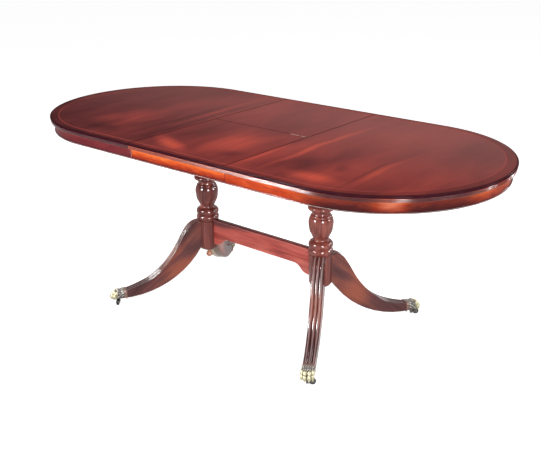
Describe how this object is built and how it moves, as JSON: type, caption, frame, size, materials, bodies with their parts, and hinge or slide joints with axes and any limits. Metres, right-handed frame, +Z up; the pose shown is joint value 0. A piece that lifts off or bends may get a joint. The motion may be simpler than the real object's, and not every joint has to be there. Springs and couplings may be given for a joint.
{
  "type": "double pedestal dining table",
  "caption": "Extending dining table with round sliding ends and a folding centre leaf, on turned columns joined by a stretcher, with swept legs on brass paw casters.",
  "frame": {"origin": "on the floor, under the middle of the table", "axes": "+X along the table towards the right end, +Y across it towards the rear, +Z up"},
  "size_m": [1.9848, 0.912, 0.762],
  "materials": {
    "mahogany_veneer": "gloss lacquer",
    "mahogany_solid": "gloss lacquer",
    "frame_beech": "stained, matt",
    "antique_brass": "antiqued",
    "steel_screws": "zinc plated",
    "black_wheel": "satin"
  },
  "bodies": {
    "base": {"column_left": "mahogany_solid", "column_right": "mahogany_solid", "drop_left": "mahogany_solid", "drop_right": "mahogany_solid", "stretcher": "mahogany_solid", "stretcher_pegs": "frame_beech", "leg_front_left": "mahogany_solid", "leg_rear_left": "mahogany_solid", "leg_front_right": "mahogany_solid", "leg_rear_right": "mahogany_solid", "paw_front_left": "antique_brass", "paw_rear_left": "antique_brass", "paw_front_right": "antique_brass", "paw_rear_right": "antique_brass", "bearer_left": "frame_beech", "bearer_right": "frame_beech", "slide_rail_front": "frame_beech", "slide_rail_rear": "frame_beech", "centre_beam": "frame_beech", "hinge_posts": "antique_brass", "frame_screws": "steel_screws"},
    "end_left": {"left_top_panel": "mahogany_veneer", "left_top_lipping": "mahogany_solid", "left_apron": "mahogany_solid", "left_runner_front": "frame_beech", "left_runner_rear": "frame_beech", "left_runner_stops": "frame_beech", "left_glue_blocks": "frame_beech", "left_screws": "steel_screws"},
    "end_right": {"right_top_panel": "mahogany_veneer", "right_top_lipping": "mahogany_solid", "right_apron": "mahogany_solid", "right_runner_front": "frame_beech", "right_runner_rear": "frame_beech", "right_runner_stops": "frame_beech", "right_glue_blocks": "frame_beech", "right_screws": "steel_screws"},
    "leaf_front": {"leaf_front_panel": "mahogany_veneer", "leaf_front_lipping": "mahogany_solid", "leaf_front_apron": "mahogany_solid", "leaf_front_glue_blocks": "frame_beech", "leaf_front_pivot_pins": "antique_brass"},
    "leaf_rear": {"leaf_rear_panel": "mahogany_veneer", "leaf_rear_lipping": "mahogany_solid", "leaf_rear_apron": "mahogany_solid", "leaf_rear_glue_blocks": "frame_beech", "leaf_rear_pivot_pins": "antique_brass"},
    "turn_button_front_left": {"button_front_left": "antique_brass"},
    "caster_front_left": {"caster_fork_front_left": "antique_brass"},
    "wheel_front_left": {"caster_wheel_front_left": "black_wheel"},
    "turn_button_rear_left": {"button_rear_left": "antique_brass"},
    "caster_rear_left": {"caster_fork_rear_left": "antique_brass"},
    "wheel_rear_left": {"caster_wheel_rear_left": "black_wheel"},
    "turn_button_front_right": {"button_front_right": "antique_brass"},
    "caster_front_right": {"caster_fork_front_right": "antique_brass"},
    "wheel_front_right": {"caster_wheel_front_right": "black_wheel"},
    "turn_button_rear_right": {"button_rear_right": "antique_brass"},
    "caster_rear_right": {"caster_fork_rear_right": "antique_brass"},
    "wheel_rear_right": {"caster_wheel_rear_right": "black_wheel"}
  },
  "joints": [
    {"name": "left_end_slide", "type": "slide", "parent": "base", "child": "end_left", "axis": [-1, 0, 0], "range_m": [0, 0.045]},
    {"name": "right_end_slide", "type": "slide", "parent": "base", "child": "end_right", "axis": [1, 0, 0], "range_m": [0, 0.045]},
    {"name": "leaf_front_fold", "type": "hinge", "parent": "base", "child": "leaf_front", "pos_m": [0, -0.02, 0.759], "axis": [-1, 0, 0], "range_deg": [0, 90]},
    {"name": "leaf_rear_fold", "type": "hinge", "parent": "base", "child": "leaf_rear", "pos_m": [0, 0.02, 0.759], "axis": [1, 0, 0], "range_deg": [0, 90]},
    {"name": "turn_button_front_left_pivot", "type": "hinge", "parent": "end_left", "child": "turn_button_front_left", "pos_m": [-0.2645, -0.3, 0.735], "axis": [0, 0, 1], "range_deg": [0, 90]},
    {"name": "turn_button_rear_left_pivot", "type": "hinge", "parent": "end_left", "child": "turn_button_rear_left", "pos_m": [-0.2645, 0.3, 0.735], "axis": [0, 0, 1], "range_deg": [0, 90]},
    {"name": "turn_button_front_right_pivot", "type": "hinge", "parent": "end_right", "child": "turn_button_front_right", "pos_m": [0.2645, -0.3, 0.735], "axis": [0, 0, 1], "range_deg": [0, 90]},
    {"name": "turn_button_rear_right_pivot", "type": "hinge", "parent": "end_right", "child": "turn_button_rear_right", "pos_m": [0.2645, 0.3, 0.735], "axis": [0, 0, 1], "range_deg": [0, 90]},
    {"name": "caster_front_left_swivel", "type": "hinge", "parent": "base", "child": "caster_front_left", "pos_m": [-0.4994, -0.34237, 0.0265], "axis": [0, 0, 1], "continuous": true},
    {"name": "wheel_front_left_spin", "type": "hinge", "parent": "caster_front_left", "child": "wheel_front_left", "pos_m": [-0.48839, -0.35531, 0.0125], "axis": [0.7615, 0.6481, 0], "continuous": true},
    {"name": "caster_rear_left_swivel", "type": "hinge", "parent": "base", "child": "caster_rear_left", "pos_m": [-0.4994, 0.34237, 0.0265], "axis": [0, 0, 1], "continuous": true},
    {"name": "wheel_rear_left_spin", "type": "hinge", "parent": "caster_rear_left", "child": "wheel_rear_left", "pos_m": [-0.51481, 0.33518, 0.0125], "axis": [0.4226, -0.9063, 0], "continuous": true},
    {"name": "caster_front_right_swivel", "type": "hinge", "parent": "base", "child": "caster_front_right", "pos_m": [0.4994, -0.34237, 0.0265], "axis": [0, 0, 1], "continuous": true},
    {"name": "wheel_front_right_spin", "type": "hinge", "parent": "caster_front_right", "child": "wheel_front_right", "pos_m": [0.51235, -0.33135, 0.0125], "axis": [-0.6481, 0.7615, 0], "continuous": true},
    {"name": "caster_rear_right_swivel", "type": "hinge", "parent": "base", "child": "caster_rear_right", "pos_m": [0.4994, 0.34237, 0.0265], "axis": [0, 0, 1], "continuous": true},
    {"name": "wheel_rear_right_spin", "type": "hinge", "parent": "caster_rear_right", "child": "wheel_rear_right", "pos_m": [0.51235, 0.35339, 0.0125], "axis": [-0.6481, 0.7615, 0], "continuous": true}
  ]
}
